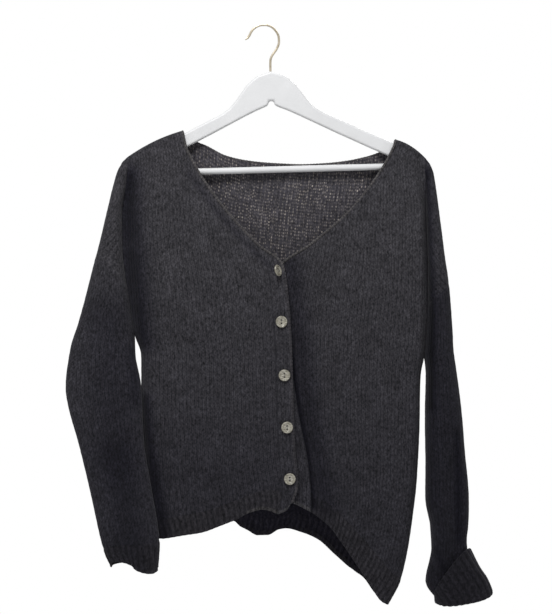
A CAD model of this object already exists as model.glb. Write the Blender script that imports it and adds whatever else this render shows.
import math

import bmesh
import bpy
import numpy as np
from mathutils import Matrix, Vector


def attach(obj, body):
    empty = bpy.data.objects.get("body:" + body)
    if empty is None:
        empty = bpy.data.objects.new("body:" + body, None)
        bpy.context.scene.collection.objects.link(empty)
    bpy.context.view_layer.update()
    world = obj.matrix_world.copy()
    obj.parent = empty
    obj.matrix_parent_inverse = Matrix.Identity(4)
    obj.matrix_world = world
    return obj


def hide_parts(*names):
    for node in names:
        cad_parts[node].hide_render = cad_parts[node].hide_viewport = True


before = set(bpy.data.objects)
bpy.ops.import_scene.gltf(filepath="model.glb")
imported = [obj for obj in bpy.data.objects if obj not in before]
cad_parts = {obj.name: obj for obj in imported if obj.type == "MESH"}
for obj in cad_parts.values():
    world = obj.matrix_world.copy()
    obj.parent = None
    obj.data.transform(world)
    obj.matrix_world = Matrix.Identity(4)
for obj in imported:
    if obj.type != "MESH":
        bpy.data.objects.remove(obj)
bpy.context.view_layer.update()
mm = 0.001
print("frame loaded")


def meshOf(bm, name):
    mesh = bpy.data.meshes.new(name)
    bm.to_mesh(mesh)
    bm.free()
    return mesh


def addObject(name, data):
    thing = bpy.data.objects.new(name, data)
    bpy.context.scene.collection.objects.link(thing)
    return thing


view = {
    "place": (0.0075, -2.4, -0.4106),
    "roll": 1.5,                 # degrees
    "lens": 96.4,
}


def makeCamera():
    lens = bpy.data.cameras.new("camera")
    lens.lens, lens.sensor_width, lens.clip_end = view["lens"], 36.0, 30.0
    camera = addObject("camera", lens)
    turned = Matrix.Rotation(math.radians(view["roll"]), 4, "Y") @ Matrix.Rotation(math.pi / 2, 4, "X")
    camera.matrix_world = Matrix.Translation(view["place"]) @ turned
    bpy.context.scene.camera = camera


makeCamera()

# The garment's form, in millimetres, is read from rows that run down it: the foot of the dropped shoulder,
# the underarm, the top of the ribs and the hem.
footRow, underarmRow, ribRow, hemRow = 6, 7, 11, 12

rightFront = {
    # side x, y, z; inner edge x, y, z; reach of the turn at the side; depth there; in mid panel; roundness
    "rows": np.array((
        (-203, 0, -186, -122, 0, -150, 20, 0, 0, 0),
        (-203, -8.6, -191, -121, -8.6, -155, 20, -8.6, -8.6, 0),
        (-203, -9.5, -200, -117, -10.5, -175, 22, -10, -10.5, 0),
        (-206, -7.5, -226, -101, -13, -209, 24, -16, -17, 0),
        (-213, -4, -266, -67, -18, -261, 30, -21, -23, 0),
        (-214, -3.3, -319, -18, -25, -318, 32, -23, -27, 0),
        (-210, -3.3, -370, 19, -32, -353, 27, -24, -29, 0.2),
        (-200, -3.3, -444, 26, -35, -437, 14, -23, -30, 0.7),
        (-191, 0, -478, 27, -35, -476, 12, -22, -30, 1),
        (-192, 0, -549, 27, -35, -545, 14, -23, -30, 1),
        (-190, 0, -629, 28, -35, -620, 15, -24, -31, 1),
        (-187, 0, -711, 31, -35, -664, 15, -24, -31, 1),
        (-187, 0, -737, 23, -34, -692, 15, -24, -30, 1),
    )),
    "hem": ((0, 0), (0.12, -8), (0.25, -10), (0.38, -12), (0.53, -8), (0.62, -5), (0.70, 0),
            (0.78, 1), (0.85, -4), (0.91, -11), (0.96, -9), (1, 0)),
    "lean": 0.27,                # how far its wales lean in for each step down, beside the neck
    "trough": 0,
}
leftFront = {
    "rows": np.array((
        (230, 0, -198, 188, 0, -171, 20, 0, 0, 0),
        (229.5, -8.6, -203, 187, -8.6, -176, 20, -8.6, -8.6, 0),
        (229, -9.5, -212, 179, -10.5, -193, 20, -10, -10.5, 0),
        (230, -7.5, -242, 159, -13, -225, 16, -16, -16, 0),
        (230, -4, -282, 118, -17, -274, 10, -20, -22, 0.3),
        (230, -3.3, -342, 63, -21.5, -319, 11, -22, -25, 0.5),
        (229, -3.3, -411, 9, -25.5, -359, 14, -23, -27, 0.6),
        (222, -3.3, -485, -5, -27, -432, 11, -22, -28, 0.8),
        (216, 0, -515, -6, -27, -475, 11, -22, -28, 1),
        (212, 0, -588, -5, -27, -544, 13, -22, -28, 1),
        (205, 0, -674, 4, -27, -610, 14, -22, -28, 1),
        (180, 0, -809, 12, -26.5, -665, 14, -18, -25, 1),
        (160, 0, -848, 12, -26, -688, 13, -12, -22, 1),
    )),
    "hem": ((0, 0), (0.08, -4), (0.2, 6), (0.33, 15), (0.46, 24), (0.56, 29), (0.68, 26), (0.8, 18), (1, 0)),
    "lean": 0.34,
    "trough": 5,
}
backPanel = {
    "depth": (9.5, 9.8, 10.5, 13, 16, 19, 21, 23, 23, 25, 26, 26, 24),
    "neck": ((-122, -150), (-117, -153), (-109, -158), (-99, -164), (-58, -184), (-25, -192), (7, -196),
             (56, -199), (91, -198), (122, -195), (148, -190), (161, -186), (177, -179), (184, -174),
             (188, -171)),
    "neckWeight": (1.0, 1.0, 0.97, 0.75, 0.45, 0.2, 0.08, 0, 0, 0, 0, 0, 0),
    "hem": ((-187, -737), (-128, -732), (-91, -722), (-71, -720), (-61, -724), (-54, -731), (-45, -736),
            (-28, -745), (-13, -745), (5, -737), (14, -736), (36, -742), (60, -753), (86, -777),
            (111, -799), (126, -811), (144, -836), (160, -848)),
}
hemWeight = ((0, 0), (9, 0), (10, 0.25), (11, 0.8), (12, 1))
rightSleeve = {
    # inner x, z; outer x, z; middle depth; half depth; fold; the body gives the inner line to the underarm
    "rows": np.array((
        (0, 0, -211, -194, 0, 0, 0),
        (0, 0, -213, -198.5, 0, 8.6, 0),
        (0, 0, -217, -205, 0, 11, 0),
        (0, 0, -225, -229, 0, 14, 0),
        (0, 0, -234, -264, 0, 20, 0),
        (0, 0, -244, -300, 0, 24, 0),
        (0, 0, -251.5, -325, 0, 25, 0),
        (-200, -444, -279.5, -422, 0, 23, 0),
        (-198.5, -476, -293, -465, -9, 21, 0),
        (-191, -520, -299, -520, -22, 17, 2),
        (-188, -597, -280, -605, -31, 15, 4),
        (-179, -666, -264, -678, -36, 14, 4),
        (-169, -740, -249, -751, -40, 14, 4),
        (-172, -777, -240, -777, -41, 14, 4),
    )),
    "front": rightFront, "side": -1, "cuffRow": 12, "wave": 9.0,
}
leftSleeve = {
    "rows": np.array((
        (0, 0, 237, -208, 0, 0, 0),
        (0, 0, 239, -212.5, 0, 8.6, 0),
        (0, 0, 242, -221, 0, 11, 0),
        (0, 0, 246, -250, 0, 14, 0),
        (0, 0, 250, -293, 0, 20, 0),
        (0, 0, 255, -343, 0, 24, 0),
        (0, 0, 260, -384, 0, 26, 0),
        (222, -485, 264, -470, 0, 28, 0),
        (224, -511, 268, -506, -2, 29, 0),
        (221, -569, 273, -565, -4, 30, 2),
        (220, -630, 277, -626, -6, 29, 5),
        (218, -694, 280, -690, -8, 27, 9),
        (224, -735, 278, -733, -9, 24, 11),
        (225, -767, 275, -758, -9, 20, 8),
        (215, -814, 280.5, -798, -9, 17, 2),
        (229, -840, 301, -822, -9, 16, 0),
    )),
    "front": leftFront, "side": 1, "cuffRow": 15, "wave": 0.0,
}
turnedCuff = {
    # inner x, z; outer x, z; middle depth; half depth; how far its front leans up the sleeve
    "rows": np.array((
        (228, -838, 281.5, -770, -9, 30, 12),
        (227, -843, 294, -796, -9, 29, 6),
        (228.5, -847, 305, -814, -9, 28, 0),
        (233, -847, 311, -832, -9, 26, -5),
        (239, -846, 305, -837, -9, 21, -5),
    )),
}
# how the cloth hangs: the rise of each edge over the shoulders, how far the back takes to turn at the side
# above and below the shoulder's foot, and the trough beside the bands
drape = {
    "frontCrown": 4.5, "backCrown": 18, "crownRows": 3, "backReach": (24, 14),
    "troughTop": 6.2, "troughPlace": 36, "troughDrift": 5, "troughWidth": 15,
}
ring = {"power": 2.4, "foldPlace": 0.58, "foldWidth": 0.13}
knit = {
    "wale": 5.67, "course": 4.7,     # width and height of one stitch
    "relief": 0.6,                   # how far the yarn stands up
    "ribPitch": 8.2, "cuffPitch": 8.2, "turnedPitch": 9.6, "ribRelief": 1.25,
    "edgeRadius": 1.35,
    "dullFrom": 330, "dullOver": 420, "dullShare": 0.39,    # the wool grows duller towards the hem
}


def read(values, place):
    # a smooth curve through evenly spaced values, which never swings past them
    v = np.asarray(values, float)
    steps = np.diff(v)
    slope = np.concatenate(([steps[0]], np.zeros(len(v) - 2), [steps[-1]]))
    a, b = steps[:-1], steps[1:]
    same = a * b > 0
    slope[1:-1][same] = (2 * a * b)[same] / (a + b)[same]
    i = np.clip(np.floor(place).astype(int), 0, len(v) - 2)
    w = place - i
    return ((1 + 2 * w) * (1 - w) ** 2 * v[i] + w * (1 - w) ** 2 * slope[i]
            + w * w * (3 - 2 * w) * v[i + 1] + w * w * (w - 1) * slope[i + 1])


def readPairs(pairs, x):
    xs, ys = np.array(pairs, float).T
    return read(ys, np.interp(x, xs, np.arange(len(xs))))


def bend(row):
    # the turn over the shoulder: how far down and how far out the first row is
    over = np.clip(row, 0, 1) * math.pi / 2
    return np.where(row >= 1, row, 1 - np.cos(over)), np.where(row >= 1, row, np.sin(over))


def valley(front, row):
    # the depth of the line between body and sleeve, which closes just above the underarm
    closing = np.clip((row - 6.9) / 0.1, 0, 1)
    return read(front["rows"][:, 1], bend(row)[1]) * np.sqrt(1 - closing ** 2)


def turnShare(share, roundness):
    # how the cloth turns at the side, from a soft slope to a round fold
    share = np.clip(share, 0, 1)
    slope = share * share * (3 - 2 * share)
    fold = (1 - (1 - share) ** 2.2) ** (1 / 2.2)
    return slope + (fold - slope) * roundness


def frontPoints(front, across, row):
    # a front's surface, from its side (0) to its inner edge (1)
    table = front["rows"]
    low, deep = bend(row)
    sx, sz, ex, ez, reach, roundness = (read(table[:, i], low) for i in (0, 2, 3, 5, 6, 9))
    ey, flank, middle = (read(table[:, i], deep) for i in (4, 7, 8))
    sy = valley(front, row)
    a = np.minimum(across, 1)
    x = sx + (ex - sx) * across
    crown = 4 * a * (1 - a) * drape["frontCrown"] * np.maximum(0, 1 - row / drape["crownRows"])
    z = sz + (ez - sz) * a + crown + readPairs(front["hem"], a) * readPairs(hemWeight, row)
    depth = flank * (1 - a) * (1 - 2 * a) + 4 * middle * a * (1 - a) + ey * a * (2 * a - 1)
    y = sy + (depth - sy) * turnShare(a * abs(ex - sx) / reach, roundness)
    strength = np.clip(row - drape["troughTop"], 0, 1) * (1 - np.clip(row - ribRow, 0, 1))
    off = (x - drape["troughPlace"] - drape["troughDrift"] * (row - 8)) / drape["troughWidth"]
    y = y + front["trough"] * strength * np.exp(-off ** 2)
    return np.stack((x, y, z), -1)


def backPoints(share, row):
    # the back's surface, from the wearer's right (0) to the left (1)
    low = bend(row)[0]
    r, l = rightFront["rows"], leftFront["rows"]
    rx, rz, lx, lz = read(r[:, 0], low), read(r[:, 2], low), read(l[:, 0], low), read(l[:, 2], low)
    width = l[0, 0] - r[0, 0]
    rightShoulder, leftShoulder = (r[0, 3] - r[0, 0]) / width, (l[0, 0] - l[0, 3]) / width
    x = rx + (lx - rx) * share
    straight = rz + (lz - rz) * share
    topX = r[0, 0] + width * share
    topLine = r[0, 2] + (l[0, 2] - r[0, 2]) * share
    a, b = share / rightShoulder, (1 - share) / leftShoulder
    top = readPairs(backPanel["neck"], topX)
    for part, table in ((a, r), (b, l)):
        over = table[0, 2] + (table[0, 5] - table[0, 2]) * part + drape["backCrown"] * part * (1 - part)
        top = np.where(part < 1, over, top)
    hem = readPairs(backPanel["hem"], r[hemRow, 0] + (l[hemRow, 0] - r[hemRow, 0]) * share)
    hem = hem - (r[hemRow, 2] + (l[hemRow, 2] - r[hemRow, 2]) * share)
    z = straight + (top - topLine) * read(backPanel["neckWeight"], row) + hem * readPairs(hemWeight, row)
    rightValley, leftValley = valley(rightFront, row), valley(leftFront, row)
    side = -(rightValley + (leftValley - rightValley) * share)
    reach = np.where(row < footRow, *drape["backReach"])
    near = np.minimum(share, 1 - share) * (lx - rx) / reach
    neckWide = 1 - rightShoulder - leftShoulder
    inNeck = np.minimum(share - rightShoulder, 1 - leftShoulder - share) / neckWide
    behind = np.maximum(np.clip(inNeck / 0.03, 0, 1), np.clip(row - 1, 0, 1))
    depth = side + (read(backPanel["depth"], row) - side) * behind
    y = side + (depth - side) * turnShare(near, np.clip(row - 5, 0, 1))
    return np.stack((x, y, z), -1)


def ringPoints(innerX, innerZ, outerX, outerZ, opening, middle, half, fold, around, lean=0.0, wave=0.0):
    # a flattened tube; around goes from 0 at its inner line over the front to 1, and over the rear to 2
    angle = math.pi * around
    c, s = np.cos(angle), np.sin(angle)
    power = 2 / ring["power"]
    c, s = np.sign(c) * np.abs(c) ** power, np.abs(s) ** power
    face = np.where(around < 1, -1.0, 1.0)
    armX, armZ = (outerX - innerX) / 2, (outerZ - innerZ) / 2
    long = np.maximum(np.hypot(armX, armZ), 1e-6)
    lift = np.where(face < 0, lean * s, 0) * np.sign(armX) / long
    twice = np.sin(2 * angle)
    dip = np.where(face < 0, -wave * np.sign(twice) * np.sqrt(np.abs(twice)), 0.6 * wave * s)
    spread = opening * (1 + np.cos(angle)) / 2 * (1 - s)
    near = 1 - np.abs(1 - around)
    even = np.minimum(opening / np.maximum(half, 0.001), 1)
    c = c + np.where(near < 0.5, (1 - 2 * near - c) * even, 0)
    crease = fold * np.exp(-((around - ring["foldPlace"]) / ring["foldWidth"]) ** 2)
    x = (innerX + outerX) / 2 - armX * c - armZ * lift
    z = (innerZ + outerZ) / 2 - armZ * c + armX * lift + dip
    y = middle + face * (half * s + spread) + crease
    return np.stack((x, y, z), -1)


def sleevePoints(sleeve, around, row):
    table, front = sleeve["rows"], sleeve["front"]["rows"]
    low, deep = bend(row)
    above = row < underarmRow
    below = np.maximum(row, underarmRow) - underarmRow
    lowerX, lowerZ = (read(table[underarmRow:, i], below) for i in (0, 1))
    innerX = np.where(above, read(front[:, 0], low), lowerX)
    innerZ = np.where(above, read(front[:, 2], low), lowerZ)
    opening = np.where(above, -valley(sleeve["front"], np.minimum(row, underarmRow)), 0)
    wave = sleeve["wave"] * np.clip((row - sleeve["cuffRow"] + 1) / 2, 0, 1) ** 2
    outerX, outerZ = (read(table[:, i], low) for i in (2, 3))
    middle, fold = (read(table[:, i], row) for i in (4, 6))
    return ringPoints(innerX, innerZ, outerX, outerZ, opening, middle, read(table[:, 5], deep), fold, around,
                      wave=wave)


def turnedCuffPoints(around, row):
    values = [read(turnedCuff["rows"][:, i], row) for i in range(7)]
    return ringPoints(*values[:4], 0.0, values[4], values[5], 0.0, around, lean=values[6])


# knitting: grids of stitches laid on those forms

rng = np.random.default_rng(7)
looseness = rng.uniform(-1, 1, (97, 89))


def frac(v):
    return v - np.floor(v)


def jitter(wales, courses):
    wide, high = looseness.shape
    return looseness[np.floor(wales).astype(int) % wide, np.floor(courses).astype(int) % high]


def stocking(wales, courses):
    # a ridge for each wale, made of legs that are apart at the top of a stitch and together at its foot
    side = np.abs(frac(wales) - 0.5)
    t = frac(-courses)
    away = (side - 0.12 - 0.2 * t) / 0.24
    leg = np.sqrt(np.clip(1 - away ** 2, 0, 1))
    ridge = 1 - (2 * side) ** 2.5
    return (0.6 * ridge + 0.4 * leg) * (1 + 0.2 * jitter(wales, courses))


def purl(wales, courses):
    # the reverse: columns of small bumps, one for each course, uneven in size
    column = 0.5 - 0.5 * np.cos(2 * math.pi * wales)
    bump = (0.5 - 0.5 * np.cos(2 * math.pi * courses)) ** 1.5
    uneven = 1 + 0.55 * jitter(wales, courses)
    return 0.3 * column + 0.7 * column * bump * uneven


def ribbed(ribs, courses):
    ridge = (0.5 + 0.5 * np.cos(2 * math.pi * ribs)) ** 0.8
    side = np.abs(frac(ribs + 0.5) - 0.5)
    t = frac(-courses)
    legs = np.sqrt(np.clip(1 - ((side - 0.06 - 0.12 * t) / 0.11) ** 2, 0, 1))
    return ridge * (1 + 0.1 * jitter(ribs, courses)) + 0.3 * legs * (0.5 + 0.5 * np.sin(math.pi * t))


def runAlong(path):
    # the length of a path up to each of its points
    return np.concatenate(([0], np.cumsum(np.linalg.norm(np.diff(path, axis=0), axis=1))))


def evenRows(points, share, start, end, steps):
    # rows that are evenly spaced down a surface at one share across it, some to each course
    fine = np.linspace(start, end, 1500)
    run = runAlong(points(np.full_like(fine, share), fine))
    count = max(2, int(round(run[-1] / knit["course"] * steps)))
    rows = np.interp(np.linspace(0, run[-1], count + 1), run, fine)
    return rows, np.linspace(0, run[-1] / knit["course"], count + 1)


def evenColumns(points, rows, limits, count):
    # shares across each row that keep the stitches of that row equally wide
    fine = np.linspace(0, 1, 301)
    grid = fine[None, :] * (limits[1] - limits[0])[:, None] + limits[0][:, None]
    path = points(grid, np.repeat(rows[:, None], 301, 1))
    run = np.linalg.norm(np.diff(path, axis=1), axis=2)
    run = np.concatenate((np.zeros((len(rows), 1)), np.cumsum(run, axis=1)), axis=1)
    even = np.linspace(0, 1, count + 1)
    return np.stack([np.interp(even * run[j, -1], run[j], grid[j]) for j in range(len(rows))])


def normalsOf(points, closed):
    if closed:
        wide = np.concatenate((points[:, -2:-1], points, points[:, 1:2]), 1)
        du = wide[:, 2:] - wide[:, :-2]
    else:
        du = np.gradient(points, axis=1)
    dv = np.gradient(points, axis=0)
    n = np.cross(du, dv)
    return n / np.maximum(np.linalg.norm(n, axis=2, keepdims=True), 1e-9)


def creased(points, normals, creases):
    # soft troughs and ridges placed by hand: x, z of both ends, half width, height
    for x0, z0, x1, z1, width, height in creases:
        line = np.array((x1 - x0, z1 - z0))
        away = points[..., (0, 2)] - (x0, z0)
        t = away @ line / (line @ line)
        off = np.abs(away[..., 0] * line[1] - away[..., 1] * line[0]) / np.hypot(*line)
        ends = np.clip(1 - (np.clip(np.abs(t - 0.5) - 0.3, 0, 1) / 0.32) ** 2, 0, 1)
        points = points + normals * (height * ends * np.exp(-(off / width) ** 2))[..., None]
    return points


def rolledEdge(place, normals, marks, where, radius, turns=7, inside=6.0):
    # the cloth's free edge turned in on itself
    grids = [place, normals, marks]
    if where in ("start", "end"):
        grids = [g.swapaxes(0, 1) for g in grids]
    if where in ("start", "top"):
        grids = [g[::-1] for g in grids]
    place, normals, marks = grids
    end, n = place[-1], normals[-1]
    off = end - place[-3]
    off = off / np.maximum(np.linalg.norm(off, axis=1, keepdims=True), 1e-9)
    rows = []
    for k in range(1, turns + 1):
        angle = math.pi * k / turns
        rows.append(end + off * radius * math.sin(angle) - n * radius * (1 - math.cos(angle)))
    rows.append(end - n * 2 * radius - off * inside)
    grids = [np.concatenate((place, np.stack(rows))),
             np.concatenate((normals, np.repeat(normals[-1:], len(rows), 0))),
             np.concatenate((marks, np.repeat(marks[-1:], len(rows), 0)))]
    if where in ("start", "top"):
        grids = [g[::-1] for g in grids]
    if where in ("start", "end"):
        grids = [g.swapaxes(0, 1) for g in grids]
    return grids


def shadeOf(points, shades, level, facing):
    # the wool is duller low down and in the deep folds; a fold has a half width, a strength and x, z points
    spot = points[..., (0, 2)]
    low = np.clip((-spot[..., 1] - knit["dullFrom"]) / knit["dullOver"], 0, 1)
    shade = level * (1 - knit["dullShare"] * low)
    for width, strength, *line in shades:
        nearest = np.full(shade.shape, 1e9)
        for start, end in zip(line, line[1:]):
            start, run = np.array(start, float), np.subtract(end, start)
            t = np.clip((spot - start) @ run / (run @ run), 0, 1)
            nearest = np.minimum(nearest, np.linalg.norm(spot - start - t[..., None] * run, axis=-1))
        shade = shade * (1 - strength * facing * np.exp(-(nearest / width) ** 2))
    return shade


def gridMesh(points, marks, flip, shades=(), level=1.0, facing=1.0):
    rowCount, columnCount = points.shape[:2]
    bm = bmesh.new()
    bmesh.ops.create_grid(bm, x_segments=columnCount - 1, y_segments=rowCount - 1, size=0.5)
    mesh = meshOf(bm, "knitting")
    co = np.empty(rowCount * columnCount * 3, np.float32)
    mesh.vertices.foreach_get("co", co)
    co = co.reshape(-1, 3)
    i = np.rint((co[:, 0] + 0.5) * (columnCount - 1)).astype(int)
    j = np.rint((co[:, 1] + 0.5) * (rowCount - 1)).astype(int)
    mesh.vertices.foreach_set("co", (points[j, i] * mm).astype(np.float32).ravel())
    layer = mesh.attributes.new("knit", "FLOAT_VECTOR", "POINT")
    layer.data.foreach_set("vector", marks[j, i].astype(np.float32).ravel())
    layer = mesh.attributes.new("shade", "FLOAT", "POINT")
    layer.data.foreach_set("value", shadeOf(points, shades, level, facing)[j, i].astype(np.float32))
    if flip:
        mesh.flip_normals()
    return mesh


def makePiece(name, meshes, material, node=None):
    bm = bmesh.new()
    for mesh in meshes:
        bm.from_mesh(mesh)
        bpy.data.meshes.remove(mesh)
    bmesh.ops.remove_doubles(bm, verts=bm.verts[:], dist=0.02 * mm)
    bmesh.ops.delete(bm, geom=[v for v in bm.verts if not v.link_faces], context="VERTS")
    mesh = meshOf(bm, name)
    mesh.shade_smooth()
    mesh.materials.append(material)
    piece = addObject(name, mesh)
    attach(piece, "root")
    if node:
        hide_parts(node)
    print(name, len(mesh.polygons), "faces")
    return piece


def wobble(points):
    # the slow unevenness of hanging cloth
    x, z = points[..., 0] / 1000, points[..., 2] / 1000
    return (np.sin(31 * x + 17 * z + 1.3) + np.sin(-23 * x + 41 * z) + 0.6 * np.sin(57 * x - 29 * z + 2.1)
            + 0.5 * np.sin(83 * x + 61 * z + 0.7)) / 2.2


def knitSurface(points, rows, courses, limits, pattern=stocking, pitch=knit["wale"], perStitch=4,
                relief=knit["relief"], outward=1, closed=False, inward=0.0, clampTo=None, creases=(),
                edges=(), seams=(), sway=0.5, slant=0.0, steps=3, shades=(), level=1.0, rim=None,
                turned=0.0, rear=None):
    # one grid of stitches on a surface; limits give where each row starts and ends across it
    low, high = (np.broadcast_to(np.asarray(v, float), rows.shape) for v in limits)
    mid = len(rows) // 2
    span = np.linspace(low[mid], high[mid], 200)[None, :]
    width = np.linalg.norm(np.diff(points(span, np.full((1, 200), rows[mid])), axis=1), axis=2).sum()
    stitches = max(2, int(round(width / pitch)))
    columns = evenColumns(points, rows, (low, high), stitches * perStitch)
    rowGrid = np.repeat(rows[:, None], columns.shape[1], 1)
    place = points(columns, rowGrid)
    if clampTo is not None:
        reached = columns
        columns = np.minimum(columns, clampTo)
        place = points(columns, rowGrid)
    normals = normalsOf(place, closed) * outward
    place = creased(place, normals, creases)
    across = np.arange(columns.shape[1]) / perStitch
    wales, down = np.meshgrid(across, courses + 0.5 / steps)
    wales, down = wales + slant * down, down + turned * wales
    loft = pattern(wales, down)
    if closed:
        loft[:, -1] = loft[:, 0]
    fade = np.ones_like(loft)
    i, j = np.arange(loft.shape[1])[None, :] / perStitch, np.arange(loft.shape[0])[:, None] / steps
    reach = {"start": i, "end": i[:, ::-1], "top": j, "bottom": j[::-1]}
    for seam in seams:
        fade = fade * np.clip(reach[seam] / 1.3, 0, 1)
    if clampTo is not None:
        fade = fade * (reached <= clampTo)
    swing = wobble(place) * sway * np.minimum(fade, 1)
    place = place + normals * (loft * relief * fade + swing - inward)[..., None]
    marks = np.stack((wales, down, loft), -1)
    for edge in edges:
        place, normals, marks = rolledEdge(place, normals, marks, edge, knit["edgeRadius"])
    if rim:
        # the rolled edge catches the light from x0 to x1
        edgeRows = np.arange(len(place))[:, None] >= len(place) - 11
        inside = np.clip((place[..., 0] - rim[0]) / 12, 0, 1) * np.clip((rim[1] - place[..., 0]) / 12, 0, 1)
        level = level * (1 + rim[2] * edgeRows * inside)
    facing = 1.0
    if rear is not None:
        # round a tube the folds are in front, and the rear has a level of its own
        facing = np.clip(0.5 - 1.5 * normals[..., 1], 0, 1)
        level = rear + (level - rear) * facing
    return gridMesh(place, marks, outward < 0, shades, level, facing)


def makeTube(name, path, radius, material, sides=10, relief=0.0, shades=()):
    # a round strand along a path; relief makes the bumps of a knitted roll
    path = np.asarray(path, float)
    tangents = np.gradient(path, axis=0)
    tangents /= np.linalg.norm(tangents, axis=1, keepdims=True)
    start = np.cross(tangents[0], (0.3, 0.9, 0.1))
    frames = [start / np.linalg.norm(start)]
    for t in tangents[1:]:
        side = frames[-1] - t * frames[-1].dot(t)
        frames.append(side / np.linalg.norm(side))
    frames = np.array(frames)
    others = np.cross(tangents, frames)
    run = runAlong(path)
    angles = np.linspace(0, 2 * math.pi, sides + 1)
    courses = run[:, None] / knit["course"]
    loft = np.abs(np.sin(math.pi * (courses + 0.12 * np.sin(2 * angles)[None, :])))
    radii = np.broadcast_to(np.asarray(radius, float), run.shape)[:, None] + loft * relief
    around = frames[:, None] * np.cos(angles)[None, :, None] + others[:, None] * np.sin(angles)[None, :, None]
    place = path[:, None] + around * radii[..., None]
    turns = np.broadcast_to(angles[None, :] / (2 * math.pi), loft.shape)
    courses = np.broadcast_to(courses, loft.shape)
    marks = np.stack((turns, courses, loft if relief else np.ones_like(loft)), -1)
    mesh = gridMesh(place, marks, False, shades)
    bm = bmesh.new()
    bm.from_mesh(mesh)
    bpy.data.meshes.remove(mesh)
    bmesh.ops.remove_doubles(bm, verts=bm.verts[:], dist=0.002 * mm)
    bmesh.ops.holes_fill(bm, edges=[e for e in bm.edges if e.is_boundary], sides=0)
    bmesh.ops.recalc_face_normals(bm, faces=bm.faces[:])
    return makePiece(name, [meshOf(bm, name)], material)


def evenPath(fine, spacing):
    run = runAlong(fine)
    places = np.linspace(0, run[-1], max(3, int(run[-1] / spacing)))
    return np.stack([np.interp(places, run, fine[:, i]) for i in range(3)], -1)


def smoothPath(points, spacing):
    # a path through a few points, read evenly
    points = np.asarray(points, float)
    place = np.linspace(0, len(points) - 1, 40 * len(points))
    return evenPath(np.stack([read(points[:, i], place) for i in range(3)], -1), spacing)


# materials

def newMaterial(name):
    material = bpy.data.materials.new(name)
    material.use_nodes = True
    tree = material.node_tree
    return material, tree, tree.nodes["Principled BSDF"]


def feed(tree, node, inputs):
    # a socket is linked to its input, and a plain value is set on it
    for key, value in dict(inputs).items():
        if isinstance(value, bpy.types.NodeSocket):
            tree.links.new(value, node.inputs[key])
        else:
            node.inputs[key].default_value = value


def addNode(tree, kind, inputs=(), **settings):
    node = tree.nodes.new(kind)
    for key, value in settings.items():
        setattr(node, key, value)
    feed(tree, node, inputs)
    return node


def noise(tree, where, scale, detail=2.0, roughness=0.5):
    return addNode(tree, "ShaderNodeTexNoise", {"Vector": where, "Scale": scale, "Detail": detail,
                                                "Roughness": roughness}).outputs["Fac"]


def ramp(tree, value, low, high, start, end):
    return addNode(tree, "ShaderNodeMapRange", {"Value": value, "From Min": low, "From Max": high,
                                                "To Min": start, "To Max": end}).outputs["Result"]


def maths(tree, a, b, operation="MULTIPLY"):
    return addNode(tree, "ShaderNodeMath", {0: a, 1: b}, operation=operation).outputs[0]


def vectorMaths(tree, operation, *values):
    node = addNode(tree, "ShaderNodeVectorMath", dict(enumerate(values)), operation=operation)
    return node.outputs["Value" if operation == "DISTANCE" else "Vector"]


def mixed(tree, factor, a, b, kind="MIX"):
    # inputs 6 and 7 and output 2 are the node's colours
    node = addNode(tree, "ShaderNodeMix", {0: factor, 6: a, 7: b}, data_type="RGBA", blend_type=kind)
    return node.outputs[2]


def roughened(tree, height, strength, distance):
    node = addNode(tree, "ShaderNodeBump", {"Height": height, "Strength": strength, "Distance": distance})
    return node.outputs["Normal"]


def stretched(tree, where, scale):
    return addNode(tree, "ShaderNodeMapping", {"Vector": where, "Scale": scale}).outputs["Vector"]


def stitchLegs(tree, marks):
    # the two legs of each stitch, from its place across and down
    place = addNode(tree, "ShaderNodeSeparateXYZ", {0: marks})
    side = maths(tree, maths(tree, place.outputs[0], 0.0, "FRACT"), 0.5, "SUBTRACT")
    side = maths(tree, side, 0.0, "ABSOLUTE")
    t = maths(tree, maths(tree, place.outputs[1], -1.0), 0.0, "FRACT")
    away = maths(tree, maths(tree, maths(tree, side, 0.12, "SUBTRACT"), maths(tree, t, 0.2), "SUBTRACT"), 5.0)
    leg = maths(tree, 1.0, maths(tree, away, away), "SUBTRACT")
    return maths(tree, maths(tree, leg, 0.0, "MAXIMUM"), 0.5, "POWER"), place.outputs[2]


def loopTips(tree, marks, where):
    # the pale tips of the loops on the reverse, two to a stitch, in columns that are not quite level
    doubled = vectorMaths(tree, "MULTIPLY_ADD", marks, (2.0, 1.0, 0.0), (0.5, 0.0, 0.0))
    column = vectorMaths(tree, "MULTIPLY", vectorMaths(tree, "FLOOR", doubled), (1.0, 0.0, 0.0))
    uneven = addNode(tree, "ShaderNodeTexWhiteNoise", {"Vector": column}).outputs["Value"]
    step = addNode(tree, "ShaderNodeCombineXYZ", {1: maths(tree, uneven, 0.5)}).outputs[0]
    place = vectorMaths(tree, "ADD", doubled, step)
    off = vectorMaths(tree, "DISTANCE", vectorMaths(tree, "FRACTION", place), (0.5, 0.5, 0.0))
    cell = vectorMaths(tree, "FLOOR", place)
    chance = addNode(tree, "ShaderNodeTexWhiteNoise", {"Vector": cell}).outputs["Value"]
    groups = ramp(tree, noise(tree, where, 40, 2, 0.6), 0.35, 0.65, 0.4, 1.0)
    bright = maths(tree, maths(tree, chance, 1.5, "POWER"), groups)
    return maths(tree, ramp(tree, off, 0.12, 0.42, 1.0, 0.0), bright)


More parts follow.
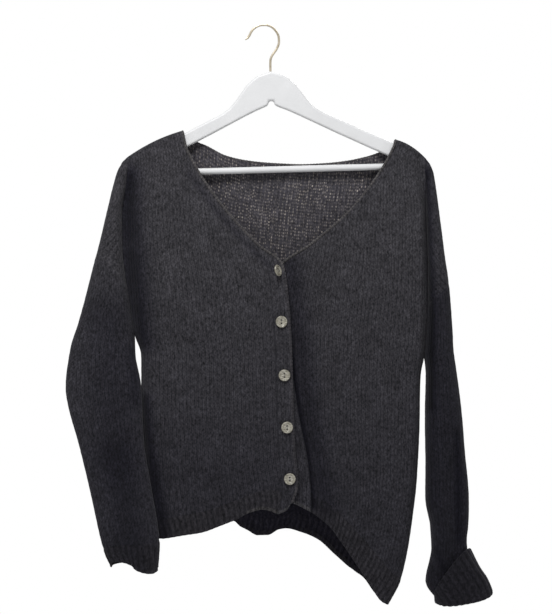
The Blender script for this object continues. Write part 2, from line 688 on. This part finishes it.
def woolMaterial(name, gap, yarn, mottle=0.18, sheen=0.1, legs=0.5, speckle=0.6, dots=None):
    # brushed heather wool: a little darker between the stitches, mottled, bluer where it is dull
    material, tree, shader = newMaterial(name)
    where = addNode(tree, "ShaderNodeTexCoord").outputs["Object"]
    marks = addNode(tree, "ShaderNodeAttribute", attribute_name="knit").outputs["Vector"]
    dull = addNode(tree, "ShaderNodeAttribute", attribute_name="shade").outputs["Fac"]
    leg, loft = stitchLegs(tree, marks)
    stitch = maths(tree, maths(tree, loft, 1 - legs), maths(tree, leg, legs), "ADD")
    base = mixed(tree, ramp(tree, stitch, 0.1, 1.0, 0.0, 1.0), (*gap, 1), (*yarn, 1))
    if dots:
        tips = maths(tree, loopTips(tree, marks, where), ramp(tree, loft, 0.0, 0.8, 0.4, 1.0))
        tips = maths(tree, tips, ramp(tree, dull, 0.45, 0.75, 0.0, 1.0))
        base = mixed(tree, tips, base, (*dots, 1))
    fibres = noise(tree, stretched(tree, where, (1.0, 1.0, 0.6)), 380, 3, 0.75)
    flecks = ramp(tree, fibres, 0.3, 0.7, 1 - speckle, 1 + speckle)
    patches = ramp(tree, noise(tree, where, 120, 2, 0.6), 0.3, 0.7, 1 - mottle, 1 + mottle)
    clouds = ramp(tree, noise(tree, where, 30, 2, 0.5), 0.3, 0.7, 0.88, 1.12)
    shade = maths(tree, maths(tree, maths(tree, patches, clouds), flecks), dull)
    cool = maths(tree, dull, -0.18, "POWER")
    warm = maths(tree, maths(tree, fibres, 0.08), 0.96, "ADD")
    tone = addNode(tree, "ShaderNodeCombineXYZ", {0: maths(tree, shade, warm), 1: shade,
                                                  2: maths(tree, shade, cool)}).outputs[0]
    height = maths(tree, maths(tree, noise(tree, where, 620, 4, 0.7), 0.6), maths(tree, leg, 0.35), "ADD")
    feed(tree, shader, {
        "Base Color": mixed(tree, 1.0, base, tone, "MULTIPLY"),
        "Normal": roughened(tree, height, 0.6, 0.0009),
        "Roughness": 0.95, "Specular IOR Level": 0.1,
        "Sheen Weight": sheen, "Sheen Roughness": 0.5, "Sheen Tint": (0.75, 0.75, 0.8, 1),
    })
    return material


charcoal = woolMaterial("charcoalWool", (0.0285, 0.028, 0.033), (0.0495, 0.0475, 0.053), speckle=0.75)
charcoalRib = woolMaterial("charcoalRib", (0.027, 0.026, 0.0285), (0.046, 0.0435, 0.0465), legs=0.15,
                           speckle=0.75)
charcoalInside = woolMaterial("charcoalReverse", (0.050, 0.048, 0.058), (0.100, 0.093, 0.098), legs=0.0,
                              dots=(0.50, 0.44, 0.39))
edgeWool = woolMaterial("charcoalEdge", (0.044, 0.042, 0.044), (0.086, 0.080, 0.080), sheen=0.2, legs=0.0)
print("materials made")

# fronts, back and sleeves

# how bright the wool of each piece is, for shade that a plain light doesn't give; 1 is its own colour
levels = {
    "rightShoulder": 1.0, "leftShoulder": 0.8, "rightSleeve": 0.9, "leftSleeve": 0.5, "rear": 0.95,
    "leftRib": 0.92, "rightCuff": 0.88, "leftCuff": 0.54, "lowInside": 0.35,
}
allRound = ("start", "end", "top", "bottom")


def sleeveSide(sleeve):
    return lambda around, row: sleevePoints(sleeve, around, row)


def frontSide(front):
    return lambda across, row: frontPoints(front, across, row)


def shoulderMesh(sleeve, start, perCourse, level=1.0, shades=()):
    # the dropped shoulder, whose wales slant out down the slope to the sleeve's seam
    rows, courses = evenRows(sleeveSide(sleeve), start + 0.6, 0, footRow, perCourse)
    return knitSurface(sleeveSide(sleeve), rows, courses, (start, start + 1), outward=-sleeve["side"],
                       slant=-0.44 if start == 0 else 0.44, steps=perCourse,
                       seams=allRound, level=level, shades=shades)


def knittedFront(name, node, front, sleeve, outward, creases, shades, shoulderLevel, shoulderShades=()):
    # beside the neck the wales run on past its edge, so that they lean in and end there
    table = front["rows"]
    rows, courses = evenRows(frontSide(front), 0.35, 0, ribRow, 3)
    low = bend(rows)[0]
    sx, ex, ez = (read(table[:, i], low) for i in (0, 3, 5))
    virtual = table[footRow, 3] + outward * front["lean"] * np.clip(ez - table[footRow, 5], 0, None)
    limit = np.where(rows < footRow, np.maximum((virtual - sx) / (ex - sx), 1), 1.0)
    body = knitSurface(frontSide(front), rows, courses, (0, limit), outward=outward, clampTo=1.0,
                       creases=creases, seams=("start", "top", "bottom"), shades=shades)
    shoulder = shoulderMesh(sleeve, 0, 3, shoulderLevel, shoulderShades)
    return makePiece(name, [body, shoulder], charcoal, node=node)


# creases: x, z of both ends, half width and height; shades: half width, strength and x, z points
rightCreases = ((-42, -500, -46, -690, 16, -2.2), (-150, -230, -60, -330, 26, 1.6),
                (-120, -400, -95, -600, 30, 1.5))
leftCreases = ((150, -230, 60, -380, 24, 1.8), (120, -420, 150, -640, 30, 1.6),
               (70, -560, 130, -770, 18, -1.6))
rightShades = ((19, 0.8, (-202, -215), (-200, -300)), (21, 0.82, (-199, -330), (-192, -455)),
               (11, 0.7, (-186, -540), (-183, -597), (-173, -666), (-162, -740)),
               (70, 0.13, (-140, -640), (-40, -660)),
               (5, 0.3, (-112, -215), (-76, -268), (-26, -326), (8, -358)))
leftShades = ((3, 0.6, (231, -235), (229, -465)),
              (5, 0.8, (13, -380), (27, -478), (36, -551), (47, -622), (54, -700)),
              (19, 0.5, (30, -350), (44, -500), (62, -640), (72, -700)))
leftSleeveShades = ((8, 0.92, (229, -222), (229, -330), (232, -420), (229, -480), (226, -560)),
                    (9, 0.4, (228, -560), (222, -700)), (5, 0.6, (264, -600), (263, -755)),
                    (4, 0.5, (229, -765), (241, -799)))
frontRightPiece = knittedFront("frontRight", "front_right", rightFront, rightSleeve, -1, rightCreases,
                               rightShades, levels["rightShoulder"])
frontLeftPiece = knittedFront("frontLeft", "front_left", leftFront, leftSleeve, 1, leftCreases,
                              leftShades, levels["leftShoulder"], leftSleeveShades)

neckWidth = leftFront["rows"][0, 0] - rightFront["rows"][0, 0]
rightNeck = (rightFront["rows"][0, 3] - rightFront["rows"][0, 0]) / neckWidth
leftNeck = 1 - (leftFront["rows"][0, 0] - leftFront["rows"][0, 3]) / neckWidth


def backClamped(share, row):
    # between the shoulders the back starts a little down, behind the hanger
    return backPoints(share, np.where((share > rightNeck) & (share < leftNeck), np.maximum(row, 1), row))


backCreases = ((-120, -260, 60, -420, 30, 2.5), (150, -280, 20, -450, 26, 2.2),
               (-60, -520, -80, -700, 22, 2.0), (90, -540, 120, -740, 24, 2.2))
backRows, backCourses = evenRows(backPoints, 0.1, 0, ribRow, 2)
backBody = knitSurface(backClamped, backRows, backCourses, (0, 1), creases=backCreases,
                       seams=allRound, steps=2)
backShoulders = [shoulderMesh(sleeve, 1, 2) for sleeve in (rightSleeve, leftSleeve)]
backPiece = makePiece("backPanel", [backBody, *backShoulders], charcoal, node="back")

# the reverse of the back shows through the neck, so it is knitted finely there and plainly below
inside = {"relief": 1.0, "set": -1.6, "slant": 0.09, "turned": -0.13}
neckShades = ((6, 0.5, (-117, -153), (-99, -164), (-58, -184), (-25, -192), (56, -199), (122, -195),
               (184, -174)),)
insideRows, insideCourses = evenRows(backPoints, 0.5, 1, footRow, 4)
insideMeshes = [knitSurface(backPoints, insideRows, insideCourses, (0.12, 0.94), purl,
                            relief=inside["relief"], outward=-1, inward=inside["set"], steps=4,
                            slant=inside["slant"], turned=inside["turned"], shades=neckShades)]
lowKnit = ((footRow, ribRow, purl, knit["wale"]), (ribRow, 11.98, ribbed, knit["ribPitch"]))
for start, end, pattern, width in lowKnit:
    lowRows, lowCourses = evenRows(backPoints, 0.5, start, end, 2)
    insideMeshes.append(knitSurface(backPoints, lowRows, lowCourses, (0.04, 0.96), pattern, width,
                                    relief=inside["relief"], outward=-1, inward=inside["set"], steps=2,
                                    level=levels["lowInside"]))
backReverse = makePiece("backReverse", insideMeshes, charcoalInside)


def knittedSleeve(name, node, sleeve, creases, shades, level):
    rows, courses = evenRows(sleeveSide(sleeve), 0.5, footRow, sleeve["cuffRow"], 3)
    tube = knitSurface(sleeveSide(sleeve), rows, courses, (0, 2), outward=-sleeve["side"], closed=True,
                       creases=creases, seams=("top", "bottom"), shades=shades, level=level,
                       rear=levels["rear"])
    return makePiece(name, [tube], charcoal, node=node)


rightSleeveCreases = ((-240, -560, -222, -735, 11, -3.0), (-285, -480, -240, -545, 10, -1.8))
rightSleeveShades = ((42, 0.38, (-234, -425), (-224, -625)), (26, 0.42, (-224, -620), (-206, -770)),
                     (12, 0.4, (-200, -470), (-196, -540)))
leftSleeveCreases = ((262, -480, 268, -640, 9, -1.5), (240, -430, 232, -560, 10, 1.5))
rightSleevePiece = knittedSleeve("sleeveRight", "sleeve_right", rightSleeve, rightSleeveCreases,
                                 rightSleeveShades, levels["rightSleeve"])
leftSleevePiece = knittedSleeve("sleeveLeft", "sleeve_left", leftSleeve, leftSleeveCreases,
                                leftSleeveShades, levels["leftSleeve"])


def ribbedPiece(name, node, points, ends, limits, pitch, outward, closed=False, edges=("bottom",),
                seams=("top",), level=1.0, rim=None, shades=(), slant=0.0, relief=knit["ribRelief"],
                creases=()):
    down, courses = evenRows(points, 0.5, *ends, 3)
    mesh = knitSurface(points, down, courses, limits, ribbed, pitch, 8, relief, outward=outward,
                       closed=closed, edges=edges, seams=seams, inward=0.4, level=level, rim=rim,
                       shades=shades, slant=slant, creases=creases,
                       rear=levels["rear"] if closed else None)
    return makePiece(name, [mesh], charcoalRib, node=node)


ribRows = (10.96, hemRow)            # the ribs start just under the knit's last row
ribFrontRight = ribbedPiece("ribFrontRight", "rib_front_right", frontSide(rightFront), ribRows, (0, 1),
                            knit["ribPitch"], -1, rim=(-50, 30, 0.9), slant=-0.15,
                            shades=rightShades, creases=rightCreases)
ribFrontLeft = ribbedPiece("ribFrontLeft", "rib_front_left", frontSide(leftFront), ribRows, (0, 1),
                           knit["ribPitch"], 1, shades=leftShades, level=levels["leftRib"],
                           creases=leftCreases)
ribBack = ribbedPiece("ribBack", "rib_back", backPoints, ribRows, (0, 1), knit["ribPitch"], 1,
                      creases=backCreases)
cuffRight = ribbedPiece("cuffRight", "cuff_right", sleeveSide(rightSleeve), (11.96, 13), (0, 2),
                        knit["cuffPitch"], 1, closed=True, level=levels["rightCuff"],
                        shades=rightSleeveShades, creases=rightSleeveCreases)
cuffLeft = ribbedPiece("cuffLeft", "cuff_left", turnedCuffPoints, (0, 4), (0, 2), knit["turnedPitch"], -1,
                       closed=True, edges=("top",), seams=("bottom",), level=levels["leftCuff"], relief=0.8)
print("body, sleeves and ribs knitted")

# bands, which lie on the fronts, and the rolled edge of the neck

band = {
    "lift": 2.65, "rightBegins": 0.905,
    "leftBegins": (0.905, 0.905, 0.905, 0.905, 0.905, 0.905, 0.905, 0.88, 0.862, 0.825, 0.80, 0.775, 0.75),
    "buttonReach": 10.5, "buttonLift": 0.9,    # how the buttonhole band sinks under each button
    "rollRadius": 1.5, "rollRelief": 0.45,
}
buttons = {
    # x, y, z of the middle of the face, its turn about the vertical and its lean, in degrees
    "places": ((13.0, -43.5, -358, 60, -14), (15, -41.4, -432, 6, 0), (17, -41.4, -509, -4, 0),
               (19, -41.4, -584, 3, 0), (21, -41.4, -658, 5, 0)),
    "hole": 1.3, "holeMiddle": 1.5, "holeLength": 8, "spacing": 4.6,
    "thread": 0.3,
    # the thread's depth behind the face, and where it is from one hole (1) to the other (-1)
    "stitch": ((3.4, 1), (1.2, 1), (0.25, 0.6), (0.15, 0), (0.25, -0.6), (1.2, -1), (3.4, -1)),
    # the top button hangs off the band on a shank of thread
    "shank": ((14, -42, -358), (12, -38.5, -357), (12, -35.5, -358), (13, -31, -360)), "shankRadius": 0.8,
    # radius and depth behind the face, from the middle out and round to the back
    "profile": ((0, 0.9), (4.4, 0.9), (5.1, 0.75), (5.7, 0.3), (6.0, 0.5), (6.3, 0.5), (6.6, 0.1),
                (7.5, 0.02), (8.1, 0.35), (8.4, 1.1), (8.3, 1.9), (7.8, 2.6), (7.0, 3.0), (0, 3.0)),
}


def rightBandPoints(across, row):
    share = band["rightBegins"] + (1 - band["rightBegins"]) * across
    place = frontPoints(rightFront, share, row) - np.array((0, band["lift"], 0))
    for x, _, z in (spot[:3] for spot in buttons["places"][1:]):
        near = ((place[..., 0] - x) ** 2 + (place[..., 2] - z) ** 2) / band["buttonReach"] ** 2
        place[..., 1] += band["buttonLift"] * np.exp(-near)
    return place


def leftBandPoints(across, row):
    begins = read(band["leftBegins"], row)
    return frontPoints(leftFront, begins + (1 - begins) * across, row) - np.array((0, band["lift"], 0))


def knittedBand(name, node, points, ends, outward, edges, rim):
    down, courses = evenRows(points, 0.5, *ends, 3)
    mesh = knitSurface(points, down, courses, (0, 1), outward=outward, edges=edges, sway=0.2, rim=rim)
    return makePiece(name, [mesh], charcoal, node=node)


bandRight = knittedBand("bandRight", "band_right", rightBandPoints, (6.12, hemRow), -1, allRound,
                        (-50, 40, 0.9))
bandLeft = knittedBand("bandLeft", "band_left", leftBandPoints, (6.3, hemRow), 1,
                       ("start", "end", "bottom"), (0, 80, 0.9))


def neckPath():
    # up the left front, round behind the neck, down the right front and on along its band
    proud = np.array((0, -0.6, 0))
    up = frontPoints(leftFront, np.ones(300), np.linspace(6.4, 0, 300)) + proud
    overLeft = backPoints(np.full(20, leftNeck), np.linspace(0, 1, 20))
    behind = backPoints(np.linspace(leftNeck, rightNeck, 300), np.full(300, 1.0))
    overRight = backPoints(np.full(20, rightNeck), np.linspace(1, 0, 20))
    down = frontPoints(rightFront, np.ones(300), np.linspace(0, 6.2, 300)) + proud
    onBand = frontPoints(rightFront, np.ones(240), np.linspace(6.35, hemRow, 240))
    onBand = onBand + (0.3, 0.3 - band["lift"], 0)
    path = evenPath(np.concatenate((up, overLeft[1:], behind[1:], overRight[1:], down[1:], onBand)), 1.1)
    for _ in range(6):
        path[1:-1] = (path[:-2] + 2 * path[1:-1] + path[2:]) / 4
    for row in (leftFront["rows"][0], rightFront["rows"][0]):
        path[:, 2] -= 1.7 * np.exp(-(np.linalg.norm(path - row[3:6], axis=1) / 7) ** 2)
    return path


neckRoll = makeTube("neckRoll", neckPath(), band["rollRadius"], edgeWool, sides=9, relief=band["rollRelief"],
                    shades=((9, 0.42, (21, -372), (29, -440), (33, -660)),))
print("bands and neck edge made")

# buttons


def hornMaterial():
    # pale horn: a creamy face, browner towards the rim, with soft streaks
    material, tree, shader = newMaterial("hornButton")
    where = addNode(tree, "ShaderNodeTexCoord").outputs["Object"]
    grain = ramp(tree, noise(tree, stretched(tree, where, (220, 220, 620)), 1.0, 3, 0.6), 0.4, 0.6, 0, 1)
    clouds = ramp(tree, noise(tree, where, 260, 2, 0.5), 0.35, 0.65, 0, 1)
    tone = mixed(tree, grain, (0.15, 0.14, 0.105, 1), (0.46, 0.44, 0.37, 1))
    feed(tree, shader, {
        "Base Color": mixed(tree, maths(tree, clouds, 0.6), tone, (0.22, 0.20, 0.15, 1)),
        "Normal": roughened(tree, grain, 0.25, 0.0002),
        "Roughness": 0.38, "Coat Weight": 0.5, "Coat Roughness": 0.12,
    })
    return material


def threadMaterial():
    material, tree, shader = newMaterial("darkThread")
    where = addNode(tree, "ShaderNodeTexCoord").outputs["Object"]
    wave = addNode(tree, "ShaderNodeTexWave", {"Vector": where, "Scale": 900.0, "Distortion": 2.0})
    twist = mixed(tree, wave.outputs["Fac"], (0.10, 0.095, 0.09, 1), (0.26, 0.25, 0.23, 1))
    feed(tree, shader, {"Base Color": twist, "Roughness": 0.8})
    return material


horn, thread = hornMaterial(), threadMaterial()


def makeButton(index, x, y, z, turn, lean):
    # its profile is spun round, two holes are cut, and a thread goes through them
    bm = bmesh.new()
    verts = [bm.verts.new((r * mm, d * mm, 0)) for r, d in buttons["profile"]]
    edges = [bm.edges.new(pair) for pair in zip(verts, verts[1:])]
    bmesh.ops.spin(bm, geom=verts + edges, cent=(0, 0, 0), axis=(0, 1, 0), angle=2 * math.pi, steps=56,
                   use_merge=True)
    bmesh.ops.remove_doubles(bm, verts=bm.verts[:], dist=0.01 * mm)
    bmesh.ops.recalc_face_normals(bm, faces=bm.faces[:])
    mesh = meshOf(bm, f"button{index}")
    cutter = bmesh.new()
    half = buttons["spacing"] / 2
    for side in (-1, 1):
        lift = Matrix.Translation((0, buttons["holeMiddle"] * mm, side * half * mm))
        bmesh.ops.create_cone(cutter, cap_ends=True, segments=20, radius1=buttons["hole"] * mm,
                              radius2=buttons["hole"] * mm, depth=buttons["holeLength"] * mm,
                              matrix=lift @ Matrix.Rotation(math.pi / 2, 4, "X"))
    cutterMesh = meshOf(cutter, "holes")
    place = Matrix.Translation((x * mm, y * mm, z * mm)) @ Matrix.Rotation(math.radians(lean), 4, "Y")
    place = place @ Matrix.Rotation(math.radians(turn), 4, "Z")
    for part in (mesh, cutterMesh):
        part.transform(place)
    button, holes = addObject(f"button{index}", mesh), addObject("holes", cutterMesh)
    cut = button.modifiers.new("holes", "BOOLEAN")
    cut.operation, cut.object, cut.solver = "DIFFERENCE", holes, "EXACT"
    evaluated = button.evaluated_get(bpy.context.evaluated_depsgraph_get())
    finished = bpy.data.meshes.new_from_object(evaluated)
    button.modifiers.clear()
    button.data = finished
    bpy.data.objects.remove(holes)
    finished.materials.clear()
    finished.materials.append(horn)
    finished.shade_smooth()
    finished.set_sharp_from_angle(angle=math.radians(50))
    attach(button, "root")
    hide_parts(f"button_{index}")
    stitch = [place @ Vector((0, depth * mm, up * half * mm)) / mm for depth, up in buttons["stitch"]]
    makeTube(f"buttonThread{index}", smoothPath([tuple(p) for p in stitch], 0.5), buttons["thread"], thread,
             sides=8)


for number, spot in enumerate(buttons["places"], 1):
    makeButton(number, *spot)
makeTube("buttonShank1", smoothPath(buttons["shank"], 0.8), buttons["shankRadius"], thread, sides=8)
print("buttons made")

# hanger


def paintedWood():
    # white paint, brushed thinly along the wood
    material, tree, shader = newMaterial("whitePaint")
    where = addNode(tree, "ShaderNodeTexCoord").outputs["Object"]
    strokes = noise(tree, stretched(tree, where, (12, 300, 300)), 1.0, 3, 0.6)
    clouds = ramp(tree, noise(tree, where, 30, 2, 0.5), 0.3, 0.7, 0, 1)
    feed(tree, shader, {
        "Base Color": mixed(tree, clouds, (0.735, 0.74, 0.75, 1), (0.775, 0.78, 0.79, 1)),
        "Normal": roughened(tree, strokes, 0.15, 0.0003),
        "Roughness": ramp(tree, strokes, 0.3, 0.7, 0.32, 0.45),
    })
    return material


def brassWire():
    # worn brass, brighter where it is less tarnished
    material, tree, shader = newMaterial("wireHook")
    where = addNode(tree, "ShaderNodeTexCoord").outputs["Object"]
    tarnish = ramp(tree, noise(tree, where, 140, 3, 0.6), 0.3, 0.7, 0, 1)
    feed(tree, shader, {
        "Base Color": mixed(tree, tarnish, (0.33, 0.285, 0.21, 1), (0.55, 0.49, 0.39, 1)),
        "Roughness": ramp(tree, tarnish, 0, 1, 0.36, 0.24), "Metallic": 1.0,
    })
    return material


paint, brass = paintedWood(), brassWire()
for nodeName, finish in (("hanger_arms", paint), ("hanger_bar", paint), ("hanger_hook", brass)):
    node = bpy.data.objects.get(nodeName)
    node.data.materials.clear()
    node.data.materials.append(finish)
print("hanger painted")

# floor and light

studio = {
    "floor": -1.25, "radius": 1.9, "white": (0.9, 0.9, 0.9, 1), "ambient": 0.26,
    # place, target, size and power of each light
    "lights": {
        "keyLight": ((-0.25, -1.15, 0.95), (0, 0, -0.3), (0.7, 0.5), 22),
        "fillLight": ((0.1, -2.4, -1.0), (0, 0, -0.2), (1.2, 0.8), 6),
        "backLight": ((0.5, 2.2, 1.1), (0, 0, -0.4), (1.4, 1.0), 22),
    },
}


def makeFloor():
    bm = bmesh.new()
    bmesh.ops.create_circle(bm, cap_ends=True, segments=96, radius=studio["radius"],
                            matrix=Matrix.Translation((0, 0, studio["floor"])))
    mesh = meshOf(bm, "studioFloor")
    material, tree, shader = newMaterial("paleFloor")
    feed(tree, shader, {"Base Color": studio["white"], "Roughness": 0.9})
    mesh.materials.append(material)
    addObject("studioFloor", mesh)


def addLight(name, place, target, size, power):
    light = bpy.data.lights.new(name, "AREA")
    light.shape, light.size, light.size_y, light.energy = "RECTANGLE", size[0], size[1], power
    lamp = addObject(name, light)
    lamp.location = place
    lamp.rotation_euler = (Vector(target) - Vector(place)).to_track_quat("-Z", "Y").to_euler()
    lamp.visible_camera = False


def makeWorld():
    # a white surround, dimmer as a light than it looks, so that the wool keeps its depth
    world = bpy.data.worlds.new("studio")
    world.use_nodes = True
    tree = world.node_tree
    path = addNode(tree, "ShaderNodeLightPath")
    seen = maths(tree, path.outputs["Is Camera Ray"], path.outputs["Is Glossy Ray"], "MAXIMUM")
    strength = ramp(tree, seen, 0, 1, studio["ambient"], 1.0)
    feed(tree, tree.nodes["Background"], {"Color": (1, 1, 1, 1), "Strength": strength})
    bpy.context.scene.world = world


makeFloor()
for lightName, settings in studio["lights"].items():
    addLight(lightName, *settings)
makeWorld()
bpy.context.scene.view_settings.view_transform = "Standard"
print("studio lit")
